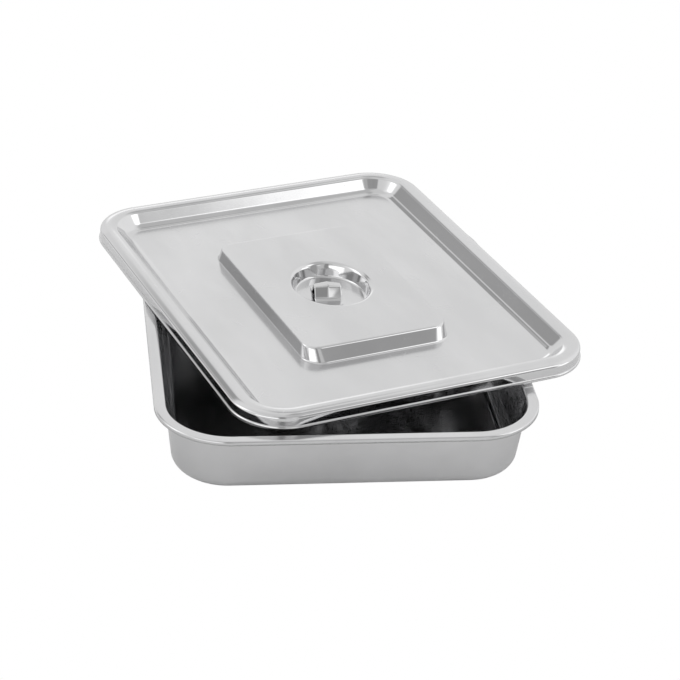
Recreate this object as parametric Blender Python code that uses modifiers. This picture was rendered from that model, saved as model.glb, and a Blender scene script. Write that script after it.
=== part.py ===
"""Covered instrument tray: a deep-drawn steel pan, and a pressed cover with a strap grip, set down ajar on it."""

import math

import bmesh
import bpy
from mathutils import Vector

# Stock
SHEET = 0.0008
STRAP_SHEET = 0.0010
GAP = 0.0003
CORNER_POINTS = 11
RUN_OUT = 0.0400

# Pan: the rim is the outermost edge, and insets are measured inwards from it
PAN_HALF_X = 0.1280
PAN_HALF_Y = 0.1555
PAN_HEIGHT = 0.0450
PAN_CORNER = 0.0485
LIP_DROP = 0.0030
LIP_ROUND = 0.0012
FLANGE_WIDTH = 0.0082
FLANGE_ROUND = 0.0022
WALL_TOP = 0.0089
WALL_FOOT = 0.0132
FLOOR_ROUND = 0.0080

# Cover: heights are above its lower edge
COVER_HALF_X = 0.1300
COVER_HALF_Y = 0.1590
COVER_CORNER = 0.0375
BEAD_OUT = 0.0009
BEAD_HEIGHT = 0.0026
BEAD_STEPS = 4
CROWN_HEIGHT = 0.0098
CROWN_ROUND = 0.0022
CROWN_ARCH = 0.0009
CROWN_STEPS = 4
CROWN_INNER = 0.0120
CROWN_INNER_ROUND = 0.0025
SLOPE_FOOT = 0.0214
SLOPE_ROUND = 0.0100
PANEL_HEIGHT = 0.0010

# Raised field of the cover, drawn steeper at its sides than its ends, and the oval finger well in it
FIELD_X = -0.0027
FIELD_Y = -0.0032
FIELD_HALF_X = 0.0553
FIELD_HALF_Y = 0.0868
FIELD_CORNER = 0.0145
FIELD_RISE = 0.0096
FIELD_END_SLOPE = 0.0062
FIELD_SIDE_SHARE = 0.22
FIELD_FOOT_ROUND = 0.0025
FIELD_ROUND = 0.0028
WELL_X = -0.0020
WELL_Y = -0.0030
WELL_HALF_X = 0.0278
WELL_HALF_Y = 0.0312
WELL_DRAFT = 0.0012
WELL_DEPTH = 0.0100
WELL_LIP = 0.0045
WELL_FOOT_ROUND = 0.0025

# Grip: half of its arch, as distance from the middle and height of the top face over the well's floor
GRIP_WIDTH = 0.0195
GRIP_FOOT = 0.0150
GRIP_HEIGHT = 0.0110
GRIP_SHOULDER = 0.0036
GRIP_SHOULDER_ROUND = 0.0028
GRIP_ANKLE = 0.0080
GRIP_ANKLE_ROUND = 0.0035
GRIP_CREASE = 0.0010
GRIP_CREASE_RISE = 1.6
GRIP_CORNER = 0.0022
GRIP_CORNER_STEPS = 4
GRIP_COLUMNS = 6
GRIP_X = -0.0052
GRIP_Y = -0.0036
GRIP_TURN = math.radians(-15.0)

# How the cover sits: level on the rim, turned and pushed back, its lower edge just clear of the rim
COVER_TURN = math.radians(17.8)
COVER_X = 0.0063
COVER_Y = 0.0378
COVER_LIFT = 0.0004


def clear_scene():
    for item in list(bpy.data.objects):
        bpy.data.objects.remove(item, do_unlink=True)


def make_material(name, colour, roughness):
    material = bpy.data.materials.new(name)
    material.use_nodes = True
    shader = material.node_tree.nodes["Principled BSDF"]
    shader.inputs["Base Color"].default_value = (*colour, 1.0)
    shader.inputs["Metallic"].default_value = 1.0
    shader.inputs["Roughness"].default_value = roughness
    return material


def rounded_loop(half_x, half_y, corner, height):
    """A closed loop of points: a rectangle with round corners, counter-clockwise from above."""
    points = []
    signs = ((1, 1), (-1, 1), (-1, -1), (1, -1))
    for quarter, (side_x, side_y) in enumerate(signs):
        centre_x = side_x * (half_x - corner)
        centre_y = side_y * (half_y - corner)
        for step in range(CORNER_POINTS):
            angle = math.pi / 2 * (quarter + step / (CORNER_POINTS - 1))
            x = centre_x + corner * math.cos(angle)
            y = centre_y + corner * math.sin(angle)
            points.append(Vector((x, y, height)))
    return points


def well_loop(inset, height):
    """The same number of points as rounded_loop, spread evenly on an oval around the well's middle."""
    points = []
    for quarter in range(4):
        for step in range(CORNER_POINTS):
            angle = math.pi / 2 * (quarter + (step + 0.5) / CORNER_POINTS)
            x = WELL_X + (WELL_HALF_X - inset) * math.cos(angle)
            y = WELL_Y + (WELL_HALF_Y - inset) * math.sin(angle)
            points.append(Vector((x, y, height)))
    return points


def inset_loop(half_x, half_y, corner, inset, height):
    return rounded_loop(half_x - inset, half_y - inset, corner - inset, height)


def arc(centre, radius, start, end, steps):
    """Points (inset, height) on an arc; angles in degrees, 0 towards the middle and 90 up."""
    points = []
    for step in range(steps + 1):
        angle = math.radians(start + (end - start) * step / steps)
        points.append((centre[0] + radius * math.cos(angle), centre[1] + radius * math.sin(angle)))
    return points


def fillet(before, corner, after, radius, steps):
    """The corner between two straight runs, rounded with an arc that touches both."""
    corner = Vector(corner)
    first = (Vector(before) - corner).normalized()
    second = (Vector(after) - corner).normalized()
    half = first.angle(second) / 2
    reach = radius / math.tan(half)
    centre = corner + (first + second).normalized() * (radius / math.sin(half))
    start = corner + first * reach - centre
    end = corner + second * reach - centre
    sweep = start.angle(end)
    points = []
    for step in range(steps + 1):
        part = step / steps
        low = math.sin((1 - part) * sweep) / math.sin(sweep)
        high = math.sin(part * sweep) / math.sin(sweep)
        points.append(tuple(centre + start * low + end * high))
    return points


def loft_sheet(name, loops, thickness, material):
    """A skin through the loops, closed over the last one, thickened away from its upper face."""
    mesh = bpy.data.meshes.new(name)
    shape = bmesh.new()
    rows = []
    for loop in loops:
        rows.append([shape.verts.new(point) for point in loop])
    count = len(loops[0])
    for outer, inner in zip(rows, rows[1:]):
        for index in range(count):
            after = (index + 1) % count
            shape.faces.new((outer[index], outer[after], inner[after], inner[index]))
    shape.faces.new(rows[-1])
    shape.to_mesh(mesh)
    shape.free()
    return finish_sheet(name, mesh, thickness, material)


def finish_sheet(name, mesh, thickness, material):
    body = bpy.data.objects.new(name, mesh)
    mesh.materials.append(material)
    solidify = body.modifiers.new("Thickness", "SOLIDIFY")
    solidify.thickness = thickness
    solidify.offset = -1.0
    solidify.use_even_offset = True
    return body


def pan_profile():
    """(inset, height) down the pan's upper face, from the turned-down lip to the flat floor."""
    top = PAN_HEIGHT
    points = [(0.0, top - LIP_DROP)]
    points += arc((LIP_ROUND, top - LIP_ROUND), LIP_ROUND, 180, 90, 4)
    foot = (WALL_FOOT, SHEET)
    points += fillet((0.0, top), (FLANGE_WIDTH, top), foot, FLANGE_ROUND, 4)
    points += fillet((WALL_TOP, top), foot, (WALL_FOOT + RUN_OUT, SHEET), FLOOR_ROUND, 7)
    return points


def build_pan(material):
    loops = []
    for inset, height in pan_profile():
        loops.append(inset_loop(PAN_HALF_X, PAN_HALF_Y, PAN_CORNER, inset, height))
    return loft_sheet("tray_pan", loops, SHEET, material)


def cover_rim_profile():
    """(inset, height) over the cover's channel rim, from its beaded lower edge in to the flat panel."""
    points = []
    for step in range(BEAD_STEPS + 1):
        angle = math.pi * step / BEAD_STEPS
        points.append((BEAD_OUT * (1 - math.sin(angle)), BEAD_HEIGHT * (1 - math.cos(angle)) / 2))
    points += arc((BEAD_OUT + CROWN_ROUND, CROWN_HEIGHT - CROWN_ROUND), CROWN_ROUND, 180, 115, 4)
    outer_edge = BEAD_OUT + CROWN_ROUND * 0.8
    crown = []
    for step in range(CROWN_STEPS + 1):
        share = step / CROWN_STEPS
        rise = CROWN_ARCH * 4 * share * (1 - share)
        crown.append((outer_edge + (CROWN_INNER - outer_edge) * share, CROWN_HEIGHT + rise))
    inner_edge = crown[-1]
    foot = (SLOPE_FOOT, PANEL_HEIGHT)
    points += crown[:-1]
    points += fillet(crown[-2], inner_edge, foot, CROWN_INNER_ROUND, 4)
    points += fillet(inner_edge, foot, (SLOPE_FOOT + RUN_OUT, PANEL_HEIGHT), SLOPE_ROUND, 5)
    return points


def field_profile():
    """(inset from the field's foot at its two ends, height), from the panel up to the flat top."""
    top = PANEL_HEIGHT + FIELD_RISE
    foot = (0.0, PANEL_HEIGHT)
    edge = (FIELD_END_SLOPE, top)
    points = fillet((-RUN_OUT, PANEL_HEIGHT), foot, edge, FIELD_FOOT_ROUND, 3)
    points += fillet(foot, edge, (RUN_OUT, top), FIELD_ROUND, 4)
    return points


def field_loop(inset, height):
    """The field is drawn steeper at its sides than at its ends."""
    side_inset = inset * FIELD_SIDE_SHARE
    corner = FIELD_CORNER - (inset + side_inset) / 2
    loop = rounded_loop(FIELD_HALF_X - side_inset, FIELD_HALF_Y - inset, corner, height)
    return [point + Vector((FIELD_X, FIELD_Y, 0.0)) for point in loop]


def well_profile():
    """(inset from the well's edge, height), from the field's flat top over the lip to the well's floor."""
    top = PANEL_HEIGHT + FIELD_RISE
    floor = top - WELL_DEPTH
    edge = (0.0, top)
    foot = (WELL_DRAFT, floor)
    points = fillet((-RUN_OUT, top), edge, foot, WELL_LIP, 4)
    points += fillet(edge, foot, (RUN_OUT, floor), WELL_FOOT_ROUND, 3)
    return points


def build_cover(material):
    loops = []
    for inset, height in cover_rim_profile():
        loops.append(inset_loop(COVER_HALF_X, COVER_HALF_Y, COVER_CORNER, inset, height))
    for inset, height in field_profile():
        loops.append(field_loop(inset, height))
    for inset, height in well_profile():
        loops.append(well_loop(inset, height))
    return loft_sheet("lid_cover", loops, SHEET, material)


def grip_half():
    """(distance from the middle, height over the well's floor) down one side of the arch, crown first."""
    foot_top = GAP + STRAP_SHEET
    crown = (0.0, GRIP_HEIGHT)
    shoulder = (GRIP_SHOULDER, GRIP_HEIGHT)
    ankle = (GRIP_ANKLE, foot_top)
    points = [crown]
    points += fillet(crown, shoulder, ankle, GRIP_SHOULDER_ROUND, 6)
    points += fillet(shoulder, ankle, (GRIP_FOOT, foot_top), GRIP_ANKLE_ROUND, 5)
    for step in range(GRIP_CORNER_STEPS + 1):
        angle = math.pi / 2 * step / GRIP_CORNER_STEPS
        points.append((GRIP_FOOT - GRIP_CORNER * (1 - math.sin(angle)), foot_top))
    return points


def grip_width(along):
    """The strap's width at a distance from its middle: its foot ends in two round corners."""
    into_corner = max(0.0, abs(along) - (GRIP_FOOT - GRIP_CORNER))
    cut = GRIP_CORNER - math.sqrt(max(0.0, GRIP_CORNER ** 2 - into_corner ** 2))
    return GRIP_WIDTH - 2 * cut


def grip_row(point, rise):
    """Points across the strap at one place on its path, lower at both edges than along the crease line."""
    foot_top = GAP + STRAP_SHEET
    share = min(1.0, GRIP_CREASE_RISE * (point.y - foot_top) / (GRIP_HEIGHT - foot_top))
    row = []
    for column in range(GRIP_COLUMNS + 1):
        side = 2 * column / GRIP_COLUMNS - 1
        place = point - rise * (GRIP_CREASE * abs(side) * share)
        row.append(Vector((side * grip_width(point.x) / 2, place.x, place.y)))
    return row


def build_grip(material):
    """A strap bent into a bell-shaped arch, with a shallow crease along it that fades out at its feet."""
    half = grip_half()
    path = [Vector((-along, high)) for along, high in reversed(half)]
    path += [Vector((along, high)) for along, high in half[1:]]
    mesh = bpy.data.meshes.new("handle_strap")
    shape = bmesh.new()
    rows = []
    for index, point in enumerate(path):
        before = path[max(index - 1, 0)]
        after = path[min(index + 1, len(path) - 1)]
        run = (after - before).normalized()
        rise = Vector((-run.y, run.x))
        rows.append([shape.verts.new(place) for place in grip_row(point, rise)])
    for near, far in zip(rows, rows[1:]):
        for column in range(GRIP_COLUMNS):
            shape.faces.new((near[column], near[column + 1], far[column + 1], far[column]))
    shape.to_mesh(mesh)
    shape.free()
    grip = finish_sheet("handle_strap", mesh, STRAP_SHEET, material)
    grip.location = (GRIP_X, GRIP_Y, PANEL_HEIGHT + FIELD_RISE - WELL_DEPTH)
    grip.rotation_euler = (0.0, 0.0, GRIP_TURN)
    return grip


def main():
    clear_scene()
    collection = bpy.data.collections.new("instrument_tray")
    bpy.context.scene.collection.children.link(collection)

    pan = build_pan(make_material("pan_steel", (0.62, 0.62, 0.63), 0.22))
    cover = build_cover(make_material("cover_steel", (0.66, 0.66, 0.67), 0.30))
    grip = build_grip(make_material("grip_steel", (0.60, 0.60, 0.61), 0.18))

    seat = bpy.data.objects.new("cover_seat", None)
    seat.location = (COVER_X, COVER_Y, PAN_HEIGHT + COVER_LIFT)
    seat.rotation_euler = (0.0, 0.0, COVER_TURN)
    for item in (pan, cover, grip, seat):
        collection.objects.link(item)
    for item in (cover, grip):
        item.parent = seat


main()
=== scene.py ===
"""Covered instrument tray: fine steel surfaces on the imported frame, a studio, a floor and a camera."""

import math

import bmesh
import bpy
from mathutils import Matrix, Vector


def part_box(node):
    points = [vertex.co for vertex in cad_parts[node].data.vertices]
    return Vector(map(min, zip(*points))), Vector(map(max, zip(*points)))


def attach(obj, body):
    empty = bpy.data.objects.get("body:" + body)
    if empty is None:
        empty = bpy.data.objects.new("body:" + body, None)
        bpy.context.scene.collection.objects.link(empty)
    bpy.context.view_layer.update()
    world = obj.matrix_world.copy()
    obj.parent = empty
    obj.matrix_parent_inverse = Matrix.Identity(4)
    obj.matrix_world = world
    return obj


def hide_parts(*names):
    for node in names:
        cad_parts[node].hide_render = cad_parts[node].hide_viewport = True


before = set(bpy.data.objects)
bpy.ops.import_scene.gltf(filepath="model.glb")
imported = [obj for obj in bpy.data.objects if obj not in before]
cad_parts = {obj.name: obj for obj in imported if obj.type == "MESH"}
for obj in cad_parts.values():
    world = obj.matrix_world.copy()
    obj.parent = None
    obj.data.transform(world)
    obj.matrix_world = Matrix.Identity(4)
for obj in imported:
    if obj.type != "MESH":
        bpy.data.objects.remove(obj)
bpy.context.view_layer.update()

# ---------------------------------------------------------------- sizes, in metres
SHEET = 0.0008
STRAP_SHEET = 0.0010
SHARP_ANGLE = math.radians(35.0)
GAP = 0.0003
CORNER_POINTS = 40
RUN_OUT = 0.0400
HOLD = 0.0015

# Pan: insets are measured inwards from the rim's outermost edge
PAN_LOW, PAN_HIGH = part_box("tray_pan")
PAN_HALF_X = (PAN_HIGH.x - PAN_LOW.x) / 2
PAN_HALF_Y = (PAN_HIGH.y - PAN_LOW.y) / 2
PAN_HEIGHT = PAN_HIGH.z - PAN_LOW.z
PAN_CORNER = 0.0485
LIP_DROP = 0.0030
LIP_ROUND = 0.0012
FLANGE_WIDTH = 0.0082
FLANGE_ROUND = 0.0022
WALL_TOP = 0.0089
WALL_FOOT = 0.0132
FLOOR_ROUND = 0.0080

# Cover: heights are above its lower edge, insets from its widest line
COVER_LOW, COVER_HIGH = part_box("lid_cover")
COVER_X = (COVER_LOW.x + COVER_HIGH.x) / 2
COVER_Y = (COVER_LOW.y + COVER_HIGH.y) / 2
COVER_LIFT = 0.0004
COVER_TURN = math.radians(17.8)
COVER_HALF_X = 0.1300
COVER_HALF_Y = 0.1590
COVER_CORNER = 0.0375
BEAD_OUT = 0.0009
BEAD_HEIGHT = 0.0026
BEAD_STEPS = 12
CROWN_HEIGHT = 0.0098
CROWN_ROUND = 0.0022
CROWN_ARCH = 0.0009
CROWN_EDGE = BEAD_OUT + 0.8 * CROWN_ROUND
CROWN_ARC_END = 115.0
CROWN_STEPS = 12
CROWN_INNER = 0.0130
CROWN_INNER_ROUND = 0.0025
SLOPE_FOOT = 0.0214
SLOPE_ROUND = 0.0100
PANEL_HEIGHT = 0.0010

# Raised field, and the oval finger well in it
FIELD_X = -0.0027
FIELD_Y = -0.0032
FIELD_HALF_X = 0.0553
FIELD_HALF_Y = 0.0868
FIELD_CORNER = 0.0145
FIELD_RISE = 0.0096
FIELD_END_SLOPE = 0.0062
FIELD_SIDE_SHARE = 0.22
FIELD_FOOT_ROUND = 0.0025
FIELD_ROUND = 0.0028
WELL_X = -0.0020
WELL_Y = -0.0030
WELL_HALF_X = 0.0278
WELL_HALF_Y = 0.0312
WELL_DRAFT = 0.0030
WELL_DEPTH = 0.0100
WELL_LIP = 0.0034
WELL_FOOT_ROUND = 0.0018

# Grip: half of its arch, as distance from the middle and height of the top face over the well's floor
GRIP_WIDTH = 0.0195
GRIP_FOOT = 0.0150
GRIP_HEIGHT = 0.0110
GRIP_SHOULDER = 0.0036
GRIP_SHOULDER_ROUND = 0.0028
GRIP_ANKLE = 0.0080
GRIP_ANKLE_ROUND = 0.0035
GRIP_CREASE = 0.0016
GRIP_CREASE_RISE = 1.6
GRIP_CORNER = 0.0022
GRIP_CORNER_STEPS = 10
GRIP_COLUMNS = 24
GRIP_X = -0.0052
GRIP_Y = -0.0036
GRIP_TURN = math.radians(-15.0)

# Camera: its distance, height above the floor and roll, seen from in front of the tray's short end
CAMERA_DISTANCE = 1.5485
CAMERA_ELEVATION = math.radians(29.83)
CAMERA_AZIMUTH = math.radians(-9.01)
CAMERA_ROLL = math.radians(3.69)
CAMERA_TARGET_Y = 0.0015
CAMERA_TARGET_HEIGHT = 0.0300
CAMERA_ASIDE = 0.0091
CAMERA_UP = -0.0010
CAMERA_LENS = 116.16
SENSOR_WIDTH = 36.0

# How often light may bounce, so that the deep pan isn't black under its cover
BOUNCES = 24

# Steel: its colour, where it counts as level, how its marks are spread per metre, and how deep they are
STEEL = (0.70, 0.70, 0.705)
LEVEL_RANGE = (0.970, 0.998)
SMEAR_SCALE = 26.0
SMEAR_RANGE = (0.35, 0.65)
SMEAR_SHADE = 0.93
SMEAR_ROUGHNESS = 0.02
GRAIN_SCALE = 2600.0
GRAIN_STRENGTH = 0.20
GRAIN_DEPTH = 0.00002
WAVE_SCALE = 14.0
SCRATCHES = ((0.35, 900.0), (-0.80, 1100.0), (1.30, 700.0))
SCRATCH_START = 0.70
SCRATCH_EDGE = 0.04
PATCH_RANGE = (0.50, 0.60)
SCRATCH_ROUGHNESS = 0.12

# Studio: panels as azimuth, elevation, half width, half height, soft edge (degrees) and brightness.
# Azimuth is clockwise from straight away from the camera. Later panels lie over earlier ones.
ROOM_LEVEL = 0.94
FLOOR_SIZE = 40.0
FLOOR_SHADE = 0.85
FLOOR_ROUGHNESS = 0.9
STUDIO_PANELS = (
    (0.0, 90.0, 180.0, 28.0, 8.0, 0.80),
    (70.0, 20.0, 40.0, 34.0, 8.0, 1.07),
    (95.0, 71.0, 85.0, 9.0, 4.0, 0.64),
    (-98.0, 42.0, 16.0, 22.0, 7.0, 1.10),
    (-155.0, 20.0, 27.0, 40.0, 8.0, 0.86),
    (160.0, 30.0, 24.0, 45.0, 8.0, 0.68),
    (131.0, 20.0, 13.0, 30.0, 5.0, 0.44),
    (129.0, 55.0, 11.0, 12.0, 4.0, 0.58),
    (-92.0, 32.0, 12.0, 20.0, 5.0, 1.80),
    (102.0, 49.0, 12.3, 10.5, 1.5, 1.70),
    (98.0, 15.0, 13.0, 11.0, 3.0, 1.75),
    (167.0, 61.0, 30.0, 6.0, 3.0, 0.42),
    (-8.0, 17.0, 8.0, 5.0, 3.0, 1.45),
    (-56.0, 26.0, 8.0, 10.0, 4.0, 0.44),
    (-30.0, 39.0, 14.0, 4.0, 3.0, 0.42),
    (2.0, 50.0, 8.0, 5.0, 3.0, 0.58),
    (17.0, 63.0, 9.0, 5.0, 3.0, 0.52),
    (173.0, 26.0, 7.0, 36.0, 3.0, 0.36),
    (-156.0, 14.0, 23.0, 9.0, 3.0, 1.80),
    (147.0, 22.0, 6.0, 6.0, 3.0, 1.20),
)


# ---------------------------------------------------------------- outlines
def rounded_loop(half_x, half_y, corner, height):
    """A closed loop of points: a rectangle with round corners, counter-clockwise from above."""
    points = []
    signs = ((1, 1), (-1, 1), (-1, -1), (1, -1))
    for quarter, (side_x, side_y) in enumerate(signs):
        centre_x = side_x * (half_x - corner)
        centre_y = side_y * (half_y - corner)
        for step in range(CORNER_POINTS):
            angle = math.pi / 2 * (quarter + step / (CORNER_POINTS - 1))
            x = centre_x + corner * math.cos(angle)
            y = centre_y + corner * math.sin(angle)
            points.append(Vector((x, y, height)))
    return points


def inset_loop(half_x, half_y, corner, inset, height):
    return rounded_loop(half_x - inset, half_y - inset, corner - inset, height)


def well_loop(inset, height):
    """The same number of points as rounded_loop, spread evenly on an oval around the well's middle."""
    points = []
    for quarter in range(4):
        for step in range(CORNER_POINTS):
            angle = math.pi / 2 * (quarter + (step + 0.5) / CORNER_POINTS)
            x = WELL_X + (WELL_HALF_X - inset) * math.cos(angle)
            y = WELL_Y + (WELL_HALF_Y - inset) * math.sin(angle)
            points.append(Vector((x, y, height)))
    return points


def arc(centre, radius, start, end, steps):
    """Points (inset, height) on an arc; angles in degrees, 0 towards the middle and 90 up."""
    points = []
    for step in range(steps + 1):
        angle = math.radians(start + (end - start) * step / steps)
        points.append((centre[0] + radius * math.cos(angle), centre[1] + radius * math.sin(angle)))
    return points


def fillet(before, corner, after, radius, steps):
    """The corner between two straight runs, rounded with an arc that touches both."""
    corner = Vector(corner)
    first = (Vector(before) - corner).normalized()
    second = (Vector(after) - corner).normalized()
    half = first.angle(second) / 2
    reach = radius / math.tan(half)
    centre = corner + (first + second).normalized() * (radius / math.sin(half))
    start = corner + first * reach - centre
    end = corner + second * reach - centre
    sweep = start.angle(end)
    points = []
    for step in range(steps + 1):
        part = step / steps
        low = math.sin((1 - part) * sweep) / math.sin(sweep)
        high = math.sin(part * sweep) / math.sin(sweep)
        points.append(tuple(centre + start * low + end * high))
    return points


# ---------------------------------------------------------------- sheet metal
def loft_sheet(name, loops, thickness):
    """A skin through the loops, closed over the last one, thickened away from its upper face."""
    mesh = bpy.data.meshes.new(name)
    shape = bmesh.new()
    rows = []
    for loop in loops:
        rows.append([shape.verts.new(point) for point in loop])
    count = len(loops[0])
    for outer, inner in zip(rows, rows[1:]):
        for index in range(count):
            after = (index + 1) % count
            shape.faces.new((outer[index], outer[after], inner[after], inner[index]))
    shape.faces.new(rows[-1])
    shape.to_mesh(mesh)
    shape.free()
    return finish_sheet(name, mesh, thickness)


def finish_sheet(name, mesh, thickness):
    body = bpy.data.objects.new(name, mesh)
    bpy.context.scene.collection.objects.link(body)
    solidify = body.modifiers.new("Thickness", "SOLIDIFY")
    solidify.thickness = thickness
    solidify.offset = -1.0
    solidify.use_even_offset = True
    smooth(mesh)
    return body


def smooth(mesh):
    mesh.shade_smooth()
    mesh.set_sharp_from_angle(angle=SHARP_ANGLE)


def pan_profile():
    """(inset, height) down the pan's upper face, from the turned-down lip to the flat floor."""
    top = PAN_HEIGHT
    foot = (WALL_FOOT, SHEET)
    points = [(0.0, top - LIP_DROP)]
    points += arc((LIP_ROUND, top - LIP_ROUND), LIP_ROUND, 180, 90, 10)
    points += fillet((0.0, top), (FLANGE_WIDTH, top), foot, FLANGE_ROUND, 10)
    points += fillet((WALL_TOP, top), foot, (WALL_FOOT + RUN_OUT, SHEET), FLOOR_ROUND, 16)
    points.append((points[-1][0] + HOLD, SHEET))
    return points


def build_pan():
    loops = []
    for inset, height in pan_profile():
        loops.append(inset_loop(PAN_HALF_X, PAN_HALF_Y, PAN_CORNER, inset, height))
    return loft_sheet("pan_shell", loops, SHEET)


def cover_rim_profile():
    """(inset, height) over the cover's channel rim, from its beaded lower edge in to the flat panel."""
    points = []
    for step in range(BEAD_STEPS + 1):
        angle = math.pi * step / BEAD_STEPS
        points.append((BEAD_OUT * (1 - math.sin(angle)), BEAD_HEIGHT * (1 - math.cos(angle)) / 2))
    points.append((BEAD_OUT, BEAD_HEIGHT + HOLD / 2))
    points += arc((BEAD_OUT + CROWN_ROUND, CROWN_HEIGHT - CROWN_ROUND), CROWN_ROUND, 180, CROWN_ARC_END, 8)
    crown = []
    for step in range(CROWN_STEPS + 1):
        share = step / CROWN_STEPS
        rise = CROWN_ARCH * 4 * share * (1 - share)
        crown.append((CROWN_EDGE + (CROWN_INNER - CROWN_EDGE) * share, CROWN_HEIGHT + rise))
    inner_edge = crown[-1]
    foot = (SLOPE_FOOT, PANEL_HEIGHT)
    points += crown[:-3]
    points += fillet(crown[-2], inner_edge, foot, CROWN_INNER_ROUND, 10)
    points += fillet(inner_edge, foot, (SLOPE_FOOT + RUN_OUT, PANEL_HEIGHT), SLOPE_ROUND, 16)
    points.append((points[-1][0] + HOLD, PANEL_HEIGHT))
    return points


def field_profile():
    """(inset from the field's foot at its two ends, height), from the panel up to the flat top."""
    top = PANEL_HEIGHT + FIELD_RISE
    foot = (0.0, PANEL_HEIGHT)
    edge = (FIELD_END_SLOPE, top)
    points = [(-FIELD_FOOT_ROUND - HOLD, PANEL_HEIGHT)]
    points += fillet((-RUN_OUT, PANEL_HEIGHT), foot, edge, FIELD_FOOT_ROUND, 10)
    points += fillet(foot, edge, (RUN_OUT, top), FIELD_ROUND, 14)
    points.append((points[-1][0] + HOLD, top))
    return points


def field_loop(inset, height):
    """The field is drawn steeper at its sides than at its ends."""
    side_inset = inset * FIELD_SIDE_SHARE
    corner = FIELD_CORNER - (inset + side_inset) / 2
    loop = rounded_loop(FIELD_HALF_X - side_inset, FIELD_HALF_Y - inset, corner, height)
    return [point + Vector((FIELD_X, FIELD_Y, 0.0)) for point in loop]


def well_profile():
    """(inset from the well's edge, height), from the field's flat top over the lip to the well's floor."""
    top = PANEL_HEIGHT + FIELD_RISE
    floor = top - WELL_DEPTH
    edge = (0.0, top)
    foot = (WELL_DRAFT, floor)
    lip = fillet((-RUN_OUT, top), edge, foot, WELL_LIP, 14)
    points = [(lip[0][0] - HOLD, top)]
    points += lip
    points += fillet(edge, foot, (RUN_OUT, floor), WELL_FOOT_ROUND, 10)
    points.append((points[-1][0] + HOLD, floor))
    return points


def build_cover():
    loops = []
    for inset, height in cover_rim_profile():
        loops.append(inset_loop(COVER_HALF_X, COVER_HALF_Y, COVER_CORNER, inset, height))
    for inset, height in field_profile():
        loops.append(field_loop(inset, height))
    for inset, height in well_profile():
        loops.append(well_loop(inset, height))
    return loft_sheet("cover_shell", loops, SHEET)


def grip_half():
    """(distance from the middle, height over the well's floor) down one side of the arch, crown first."""
    foot_top = GAP + STRAP_SHEET
    crown = (0.0, GRIP_HEIGHT)
    shoulder = (GRIP_SHOULDER, GRIP_HEIGHT)
    ankle = (GRIP_ANKLE, foot_top)
    points = [crown]
    points += fillet(crown, shoulder, ankle, GRIP_SHOULDER_ROUND, 14)
    points += fillet(shoulder, ankle, (GRIP_FOOT, foot_top), GRIP_ANKLE_ROUND, 12)
    for step in range(GRIP_CORNER_STEPS + 1):
        angle = math.pi / 2 * step / GRIP_CORNER_STEPS
        points.append((GRIP_FOOT - GRIP_CORNER * (1 - math.sin(angle)), foot_top))
    return points


def grip_width(along):
    """The strap's width at a distance from its middle: its foot ends in two round corners."""
    into_corner = max(0.0, abs(along) - (GRIP_FOOT - GRIP_CORNER))
    cut = GRIP_CORNER - math.sqrt(max(0.0, GRIP_CORNER ** 2 - into_corner ** 2))
    return GRIP_WIDTH - 2 * cut


def grip_row(point, rise):
    """Points across the strap at one place on its path, lower at both edges than along the crease line."""
    foot_top = GAP + STRAP_SHEET
    share = min(1.0, GRIP_CREASE_RISE * (point.y - foot_top) / (GRIP_HEIGHT - foot_top))
    row = []
    for column in range(GRIP_COLUMNS + 1):
        side = 2 * column / GRIP_COLUMNS - 1
        place = point - rise * (GRIP_CREASE * abs(side) * share)
        row.append(Vector((side * grip_width(point.x) / 2, place.x, place.y)))
    return row


def build_grip():
    """A strap bent into a bell-shaped arch, with a shallow crease along it that fades out at its feet."""
    half = grip_half()
    path = [Vector((-along, high)) for along, high in reversed(half)]
    path += [Vector((along, high)) for along, high in half[1:]]
    mesh = bpy.data.meshes.new("grip_strap")
    shape = bmesh.new()
    rows = []
    for index, point in enumerate(path):
        before = path[max(index - 1, 0)]
        after = path[min(index + 1, len(path) - 1)]
        run = (after - before).normalized()
        rise = Vector((-run.y, run.x))
        rows.append([shape.verts.new(place) for place in grip_row(point, rise)])
    for near, far in zip(rows, rows[1:]):
        for column in range(GRIP_COLUMNS):
            shape.faces.new((near[column], near[column + 1], far[column + 1], far[column]))
    shape.to_mesh(mesh)
    shape.free()
    return finish_sheet("grip_strap", mesh, STRAP_SHEET)


def place_on_cover(piece, place=Vector((0.0, 0.0, 0.0)), turn=0.0):
    """Puts a piece made in the cover's own frame where the cover lies."""
    seat = Matrix.Translation((COVER_X, COVER_Y, PAN_HEIGHT + COVER_LIFT))
    seat @= Matrix.Rotation(COVER_TURN, 4, "Z")
    piece.data.transform(seat @ Matrix.Translation(place) @ Matrix.Rotation(turn, 4, "Z"))


# ---------------------------------------------------------------- steel
def add(tree, kind, **values):
    node = tree.nodes.new(kind)
    for key, value in values.items():
        if key in node.inputs:
            node.inputs[key].default_value = value
        else:
            setattr(node, key, value)
    return node


def spread(tree, source, low, high, to_low, to_high):
    """Maps a value's range onto another, held at both ends."""
    node = add(tree, "ShaderNodeMapRange")
    for name, value in (("From Min", low), ("From Max", high), ("To Min", to_low), ("To Max", to_high)):
        node.inputs[name].default_value = value
    tree.links.new(source, node.inputs["Value"])
    return node.outputs["Result"]


def noise(tree, vector, scale, detail, roughness):
    node = add(tree, "ShaderNodeTexNoise", Scale=scale, Detail=detail, Roughness=roughness)
    tree.links.new(vector, node.inputs["Vector"])
    return node.outputs["Fac"]


def turned(tree, place, turn, squeeze):
    """Coordinates turned in the sheet's plane and drawn out along it by the squeeze."""
    node = add(tree, "ShaderNodeMapping", vector_type="TEXTURE")
    node.inputs["Rotation"].default_value = (0.0, 0.0, turn)
    node.inputs["Scale"].default_value = (1.0, 1.0 / squeeze, 1.0)
    tree.links.new(place, node.inputs["Vector"])
    return node.outputs["Vector"]


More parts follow.
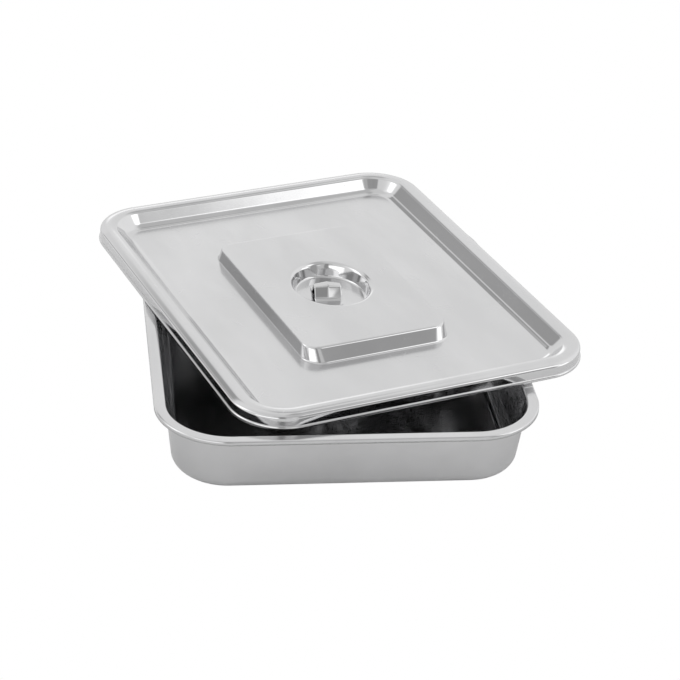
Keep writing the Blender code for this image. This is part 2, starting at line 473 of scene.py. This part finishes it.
def math_node(tree, operation, first, second):
    node = add(tree, "ShaderNodeMath", operation=operation, use_clamp=True)
    tree.links.new(first, node.inputs[0])
    if isinstance(second, float):
        node.inputs[1].default_value = second
    else:
        tree.links.new(second, node.inputs[1])
    return node.outputs["Value"]


def bump(tree, height, strength, distance, below=None):
    node = add(tree, "ShaderNodeBump", Strength=strength, Distance=distance)
    tree.links.new(height, node.inputs["Height"])
    if below is not None:
        tree.links.new(below, node.inputs["Normal"])
    return node.outputs["Normal"]


def level_share(tree):
    """One where the sheet lies level, nothing where it is drawn into a slope or a corner."""
    split = add(tree, "ShaderNodeSeparateXYZ")
    tree.links.new(add(tree, "ShaderNodeNewGeometry").outputs["Normal"], split.inputs["Vector"])
    return spread(tree, split.outputs["Z"], *LEVEL_RANGE, 0.0, 1.0)


def steel(name, colour, polished, satin, grain_turn, waviness):
    """Sheet steel, satin where flat and polished where drawn, with grain, smears, scratches and waves."""
    material = bpy.data.materials.new(name)
    material.use_nodes = True
    tree = material.node_tree
    shader = tree.nodes["Principled BSDF"]
    shader.inputs["Metallic"].default_value = 1.0
    place = add(tree, "ShaderNodeTexCoord").outputs["Object"]

    smear = noise(tree, turned(tree, place, grain_turn, 0.35), SMEAR_SCALE, 4.0, 0.55)
    grain = noise(tree, turned(tree, place, grain_turn, 0.03), GRAIN_SCALE, 2.0, 0.6)
    wave = noise(tree, place, WAVE_SCALE, 1.0, 0.4)
    scratches = None
    for turn, scale in SCRATCHES:
        lines = noise(tree, turned(tree, place, grain_turn + turn, 0.02), scale, 1.0, 0.5)
        marks = spread(tree, lines, SCRATCH_START, SCRATCH_START + SCRATCH_EDGE, 0.0, 1.0)
        scratches = marks if scratches is None else math_node(tree, "MAXIMUM", scratches, marks)
    patches = spread(tree, noise(tree, place, SMEAR_SCALE * 2, 2.0, 0.5), *PATCH_RANGE, 0.0, 1.0)
    scratches = math_node(tree, "MULTIPLY", scratches, patches)

    wiped = spread(tree, smear, *SMEAR_RANGE, -SMEAR_ROUGHNESS, SMEAR_ROUGHNESS)
    base = spread(tree, level_share(tree), 0.0, 1.0, polished, satin)
    rough = math_node(tree, "ADD", base, wiped)
    rough = math_node(tree, "ADD", rough, math_node(tree, "MULTIPLY", scratches, SCRATCH_ROUGHNESS))
    tree.links.new(rough, shader.inputs["Roughness"])

    tint = add(tree, "ShaderNodeMixRGB", blend_type="MIX")
    tint.inputs["Color1"].default_value = (*[part * SMEAR_SHADE for part in colour], 1.0)
    tint.inputs["Color2"].default_value = (*colour, 1.0)
    tree.links.new(spread(tree, smear, *SMEAR_RANGE, 0.0, 1.0), tint.inputs["Fac"])
    tree.links.new(tint.outputs["Color"], shader.inputs["Base Color"])

    normal = bump(tree, grain, GRAIN_STRENGTH, GRAIN_DEPTH)
    normal = bump(tree, wave, 1.0, waviness, normal)
    tree.links.new(normal, shader.inputs["Normal"])
    return material


# ---------------------------------------------------------------- studio
def studio_angles(tree):
    """A direction's azimuth, clockwise from the tray's own back (+Y) seen from above, and its elevation."""
    split = add(tree, "ShaderNodeSeparateXYZ")
    tree.links.new(add(tree, "ShaderNodeTexCoord").outputs["Generated"], split.inputs["Vector"])
    around = add(tree, "ShaderNodeMath", operation="ARCTAN2")
    tree.links.new(split.outputs["X"], around.inputs[0])
    tree.links.new(split.outputs["Y"], around.inputs[1])
    rise = add(tree, "ShaderNodeMath", operation="ARCSINE")
    tree.links.new(split.outputs["Z"], rise.inputs[0])
    return around.outputs["Value"], rise.outputs["Value"]


def within(tree, angle, middle, half, edge):
    """One inside a range of angles, falling smoothly to nothing across its soft edge."""
    offset = add(tree, "ShaderNodeMath", operation="SUBTRACT")
    tree.links.new(angle, offset.inputs[0])
    offset.inputs[1].default_value = middle
    wrapped = add(tree, "ShaderNodeMath", operation="WRAP")
    tree.links.new(offset.outputs["Value"], wrapped.inputs[0])
    wrapped.inputs[1].default_value = math.pi
    wrapped.inputs[2].default_value = -math.pi
    size = add(tree, "ShaderNodeMath", operation="ABSOLUTE")
    tree.links.new(wrapped.outputs["Value"], size.inputs[0])
    fade = add(tree, "ShaderNodeMapRange", interpolation_type="SMOOTHSTEP")
    fade.inputs["From Min"].default_value = half - edge
    fade.inputs["From Max"].default_value = half + edge
    fade.inputs["To Min"].default_value = 1.0
    fade.inputs["To Max"].default_value = 0.0
    tree.links.new(size.outputs["Value"], fade.inputs["Value"])
    return fade.outputs["Result"]


def build_world():
    """A white studio: soft windows and grey flags around the tray, and plain white to the camera."""
    world = bpy.data.worlds.new("studio")
    bpy.context.scene.world = world
    world.use_nodes = True
    tree = world.node_tree
    around, rise = studio_angles(tree)
    level = add(tree, "ShaderNodeValue").outputs["Value"]
    level.default_value = ROOM_LEVEL
    for azimuth, elevation, half_width, half_height, edge, brightness in STUDIO_PANELS:
        middle = math.radians(azimuth) - CAMERA_AZIMUTH
        across = within(tree, around, middle, math.radians(half_width), math.radians(edge))
        height = math.radians(elevation)
        upright = within(tree, rise, height, math.radians(half_height), math.radians(edge))
        share = add(tree, "ShaderNodeMath", operation="MULTIPLY")
        tree.links.new(across, share.inputs[0])
        tree.links.new(upright, share.inputs[1])
        mix = add(tree, "ShaderNodeMix", data_type="FLOAT")
        tree.links.new(share.outputs["Value"], mix.inputs["Factor"])
        tree.links.new(level, mix.inputs["A"])
        mix.inputs["B"].default_value = brightness
        level = mix.outputs["Result"]
    background = tree.nodes["Background"]
    background.inputs["Color"].default_value = (1.0, 1.0, 1.0, 1.0)
    tree.links.new(level, background.inputs["Strength"])
    white = add(tree, "ShaderNodeBackground", Strength=1.0)
    white.inputs["Color"].default_value = (1.0, 1.0, 1.0, 1.0)
    split_by_ray(tree, white.outputs["Background"], background.outputs["Background"], "World Output")


def split_by_ray(tree, seen, lights, output):
    """What the camera sees of the plain white set, and what the steel reflects."""
    mix = add(tree, "ShaderNodeMixShader")
    tree.links.new(add(tree, "ShaderNodeLightPath").outputs["Is Camera Ray"], mix.inputs["Fac"])
    tree.links.new(lights, mix.inputs[1])
    tree.links.new(seen, mix.inputs[2])
    tree.links.new(mix.outputs["Shader"], tree.nodes[output].inputs["Surface"])


def build_floor():
    bpy.ops.mesh.primitive_plane_add(size=FLOOR_SIZE, location=(0.0, 0.0, -GAP))
    floor = bpy.context.object
    floor.name = "studio_floor"
    material = bpy.data.materials.new("pale_floor")
    material.use_nodes = True
    tree = material.node_tree
    paper = tree.nodes["Principled BSDF"]
    paper.inputs["Base Color"].default_value = (FLOOR_SHADE, FLOOR_SHADE, FLOOR_SHADE, 1.0)
    paper.inputs["Roughness"].default_value = FLOOR_ROUGHNESS
    white = add(tree, "ShaderNodeEmission", Strength=1.0)
    white.inputs["Color"].default_value = (1.0, 1.0, 1.0, 1.0)
    split_by_ray(tree, white.outputs["Emission"], paper.outputs["BSDF"], "Material Output")
    floor.data.materials.append(material)


def build_camera():
    """Looks down at the tray from in front of its short end, a little to its left."""
    back = Vector((0.0, -math.cos(CAMERA_ELEVATION), math.sin(CAMERA_ELEVATION)))
    up = Vector((0.0, math.sin(CAMERA_ELEVATION), math.cos(CAMERA_ELEVATION)))
    right = Vector((1.0, 0.0, 0.0))
    place = Vector((0.0, 0.0, CAMERA_TARGET_HEIGHT)) + back * CAMERA_DISTANCE
    place += right * CAMERA_ASIDE + up * CAMERA_UP
    rolled_right = right * math.cos(CAMERA_ROLL) + up * math.sin(CAMERA_ROLL)
    rolled_up = up * math.cos(CAMERA_ROLL) - right * math.sin(CAMERA_ROLL)
    axes = Matrix((rolled_right, rolled_up, back)).transposed().to_4x4()
    data = bpy.data.cameras.new("camera")
    data.lens = CAMERA_LENS
    data.sensor_width = SENSOR_WIDTH
    camera = bpy.data.objects.new("camera", data)
    bpy.context.scene.collection.objects.link(camera)
    swing = Matrix.Translation((0.0, CAMERA_TARGET_Y, 0.0)) @ Matrix.Rotation(CAMERA_AZIMUTH, 4, "Z")
    camera.matrix_world = swing @ Matrix.Translation(place) @ axes
    bpy.context.scene.camera = camera


def main():
    pan = build_pan()
    cover = build_cover()
    grip = build_grip()
    place_on_cover(cover)
    well_floor = PANEL_HEIGHT + FIELD_RISE - WELL_DEPTH
    place_on_cover(grip, Vector((GRIP_X, GRIP_Y, well_floor)), GRIP_TURN)

    pan.data.materials.append(steel("pan_steel", STEEL, 0.10, 0.14, 0.0, 0.00010))
    cover.data.materials.append(steel("cover_steel", STEEL, 0.07, 0.17, COVER_TURN, 0.00012))
    grip.data.materials.append(steel("grip_steel", STEEL, 0.06, 0.08, COVER_TURN + GRIP_TURN, 0.00004))

    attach(pan, "pan")
    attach(cover, "cover")
    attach(grip, "cover")
    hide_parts("tray_pan")
    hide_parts("lid_cover")
    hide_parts("handle_strap")

    build_world()
    build_floor()
    build_camera()
    bpy.context.scene.view_settings.view_transform = "Standard"
    bpy.context.scene.cycles.max_bounces = BOUNCES
    bpy.context.scene.cycles.glossy_bounces = BOUNCES


main()
